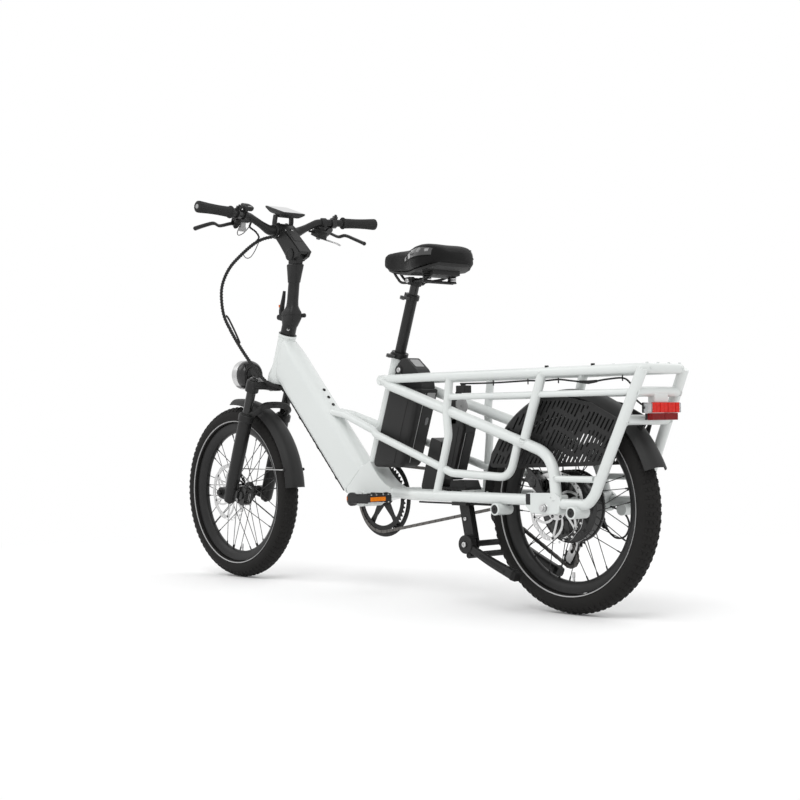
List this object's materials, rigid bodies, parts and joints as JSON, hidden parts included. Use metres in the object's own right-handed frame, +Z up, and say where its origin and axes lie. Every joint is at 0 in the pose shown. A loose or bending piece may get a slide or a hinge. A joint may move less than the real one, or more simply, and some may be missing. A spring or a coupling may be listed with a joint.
{
  "type": "longtail cargo bicycle",
  "caption": "Electric longtail cargo bicycle: tubular frame with rear rack and side rails, small wheels, sprung fork, folding stem, skirted rear wheel and two-legged stand.",
  "frame": {"origin": "centre of the bounding box on the ground plane", "axes": "+X forward along the bicycle, +Y to the rider's left, +Z up"},
  "size_m": [1.9369, 0.677, 1.1365],
  "materials": {
    "paint": "light grey-white gloss paint",
    "black_metal": "satin black coated metal",
    "black_plastic": "matt black moulded plastic",
    "rubber": "matt black rubber",
    "tyre": "black tyre rubber with a reflective band",
    "steel": "brushed steel",
    "chain_steel": "dark oiled steel",
    "saddle_cover": "smooth black cover",
    "grey_plastic": "grey moulded plastic",
    "lamp": "red and clear lamp plastic"
  },
  "bodies": {
    "frame": {"front_frame": "paint", "left_side_frame": "paint", "right_side_frame": "paint", "rear_axle": "steel", "chain": "chain_steel", "derailleur": "black_metal", "rear_fender": "black_plastic", "rear_caliper": "black_metal", "front_battery": "black_plastic", "front_battery_dock": "black_plastic", "rear_battery": "black_plastic", "rear_battery_dock": "black_plastic", "left_wheel_skirt": "black_plastic", "right_wheel_skirt": "black_plastic", "tail_light": "lamp", "kickstand_bracket": "black_metal", "cable_bundle": "black_plastic", "downtube_cable": "black_plastic"},
    "fork": {"fork_crown": "black_metal", "headlight": "black_metal", "stem_base": "black_metal"},
    "fork_leg_pair": {"fork_lowers": "black_metal", "front_fender": "black_plastic", "front_caliper": "black_metal"},
    "front_wheel_set": {"front_wheel": "black_metal", "front_tyre": "tyre", "front_rotor": "steel"},
    "rear_wheel_set": {"rear_wheel": "black_metal", "rear_tyre": "tyre", "rear_rotor": "steel"},
    "freewheel_set": {"freewheel": "steel"},
    "upper_jockey": {"upper_jockey_wheel": "black_plastic"},
    "lower_jockey": {"lower_jockey_wheel": "black_plastic"},
    "idler": {"chain_idler": "black_plastic"},
    "cranks": {"crankset": "black_metal", "chainring": "black_metal"},
    "left_pedal_body": {"left_pedal": "black_plastic"},
    "right_pedal_body": {"right_pedal": "black_plastic"},
    "latch_lever": {"stem_latch": "black_metal"},
    "column": {"stem_column": "black_metal"},
    "cockpit": {"stem_riser": "black_metal", "handlebar": "black_metal", "left_grip": "rubber", "right_grip": "rubber", "left_brake_perch": "black_metal", "right_brake_perch": "black_metal", "control_pad": "grey_plastic", "shifter": "black_plastic", "display": "black_plastic"},
    "left_lever": {"left_brake_lever": "black_metal"},
    "right_lever": {"right_brake_lever": "black_metal"},
    "button": {"pad_button": "black_plastic"},
    "paddle": {"shift_paddle": "steel"},
    "outer_post": {"seatpost_outer": "black_metal"},
    "saddle_post": {"seatpost_inner": "black_metal", "saddle": "saddle_cover", "saddle_base": "black_plastic"},
    "seat_lever": {"seat_clamp_lever": "black_metal"},
    "post_lever": {"post_clamp_lever": "black_metal"},
    "stand_legs": {"kickstand_legs": "black_metal"}
  },
  "joints": [
    {"name": "steering", "type": "hinge", "parent": "frame", "child": "fork", "pos_m": [0.461, 0, 0.744], "axis": [-0.342, 0, 0.9397], "range_deg": [-60, 60], "deforming": ["cable_bundle"]},
    {"name": "fork_travel", "type": "slide", "parent": "fork", "child": "fork_leg_pair", "axis": [-0.342, 0, 0.9397], "range_m": [0, 0.025], "stiffness_N_per_m": 12000, "springref_m": -0.02},
    {"name": "front_wheel_spin", "type": "hinge", "parent": "fork_leg_pair", "child": "front_wheel_set", "pos_m": [0.704, 0, 0.265], "axis": [0, 1, 0], "continuous": true},
    {"name": "rear_wheel_spin", "type": "hinge", "parent": "frame", "child": "rear_wheel_set", "pos_m": [-0.671, 0, 0.265], "axis": [0, 1, 0], "continuous": true},
    {"name": "crank_spin", "type": "hinge", "parent": "frame", "child": "cranks", "pos_m": [0.091, 0, 0.262], "axis": [0, 1, 0], "continuous": true},
    {"name": "freewheel_spin", "type": "hinge", "parent": "frame", "child": "freewheel_set", "pos_m": [-0.671, 0, 0.265], "axis": [0, 1, 0], "continuous": true},
    {"name": "upper_jockey_spin", "type": "hinge", "parent": "frame", "child": "upper_jockey", "pos_m": [-0.649, -0.0452, 0.184], "axis": [0, 1, 0], "continuous": true},
    {"name": "lower_jockey_spin", "type": "hinge", "parent": "frame", "child": "lower_jockey", "pos_m": [-0.621, -0.0452, 0.131], "axis": [0, 1, 0], "continuous": true},
    {"name": "idler_spin", "type": "hinge", "parent": "frame", "child": "idler", "pos_m": [-0.365, -0.0452, 0.227], "axis": [0, 1, 0], "continuous": true},
    {"name": "left_pedal_spin", "type": "hinge", "parent": "cranks", "child": "left_pedal_body", "pos_m": [-0.07859, 0.15, 0.27386], "axis": [0, 1, 0], "continuous": true},
    {"name": "right_pedal_spin", "type": "hinge", "parent": "cranks", "child": "right_pedal_body", "pos_m": [0.26059, -0.15, 0.25014], "axis": [0, 1, 0], "continuous": true},
    {"name": "stem_latch_pivot", "type": "hinge", "parent": "fork", "child": "latch_lever", "pos_m": [0.489, 0, 0.797], "axis": [0, 1, 0], "range_deg": [0, 100]},
    {"name": "stem_fold", "type": "hinge", "parent": "fork", "child": "column", "pos_m": [0.441, -0.03, 0.8], "axis": [1, 0, 0], "range_deg": [0, 90]},
    {"name": "stem_angle", "type": "hinge", "parent": "column", "child": "cockpit", "pos_m": [0.41581, 0, 0.97954], "axis": [0, 1, 0], "range_deg": [-12, 12]},
    {"name": "left_brake_pull", "type": "hinge", "parent": "cockpit", "child": "left_lever", "pos_m": [0.487, 0.172, 1.066], "axis": [-0.6801, 0, -0.7331], "range_deg": [0, 16], "stiffness_Nm_per_rad": 1.2, "springref_deg": -8.59},
    {"name": "right_brake_pull", "type": "hinge", "parent": "cockpit", "child": "right_lever", "pos_m": [0.487, -0.172, 1.066], "axis": [0.6801, 0, 0.7331], "range_deg": [0, 16], "stiffness_Nm_per_rad": 1.2, "springref_deg": -8.59},
    {"name": "pad_button_press", "type": "slide", "parent": "cockpit", "child": "button", "axis": [0.4794, 0, -0.8776], "range_m": [0, 0.001], "stiffness_N_per_m": 600, "springref_m": -0.001},
    {"name": "shift_paddle_push", "type": "hinge", "parent": "cockpit", "child": "paddle", "pos_m": [0.4846, -0.142, 1.04819], "axis": [-0.3756, 0, 0.9268], "range_deg": [0, 20], "stiffness_Nm_per_rad": 0.5, "springref_deg": -5.73},
    {"name": "outer_post_height", "type": "slide", "parent": "frame", "child": "outer_post", "axis": [-0.3322, 0, 0.9432], "range_m": [-0.05, 0.06]},
    {"name": "inner_post_height", "type": "slide", "parent": "outer_post", "child": "saddle_post", "axis": [-0.3322, 0, 0.9432], "range_m": [-0.02, 0.12]},
    {"name": "seat_lever_swing", "type": "hinge", "parent": "frame", "child": "seat_lever", "pos_m": [-0.01134, 0.0128, 0.66145], "axis": [0.3322, 0, -0.9432], "range_deg": [0, 110]},
    {"name": "post_lever_swing", "type": "hinge", "parent": "outer_post", "child": "post_lever", "pos_m": [-0.07082, 0.0128, 0.81756], "axis": [0.3322, 0, -0.9432], "range_deg": [0, 110]},
    {"name": "stand_swing", "type": "hinge", "parent": "frame", "child": "stand_legs", "pos_m": [-0.39, 0, 0.162], "axis": [0, -1, 0], "range_deg": [0, 77], "stiffness_Nm_per_rad": 6, "springref_deg": -22.92}
  ],
  "couplings": [
    {"joint": "freewheel_spin", "follows": "crank_spin", "ratio": 2.1818},
    {"joint": "upper_jockey_spin", "follows": "crank_spin", "ratio": -4.3636},
    {"joint": "lower_jockey_spin", "follows": "crank_spin", "ratio": 4.3636},
    {"joint": "idler_spin", "follows": "crank_spin", "ratio": -4.8545}
  ]
}
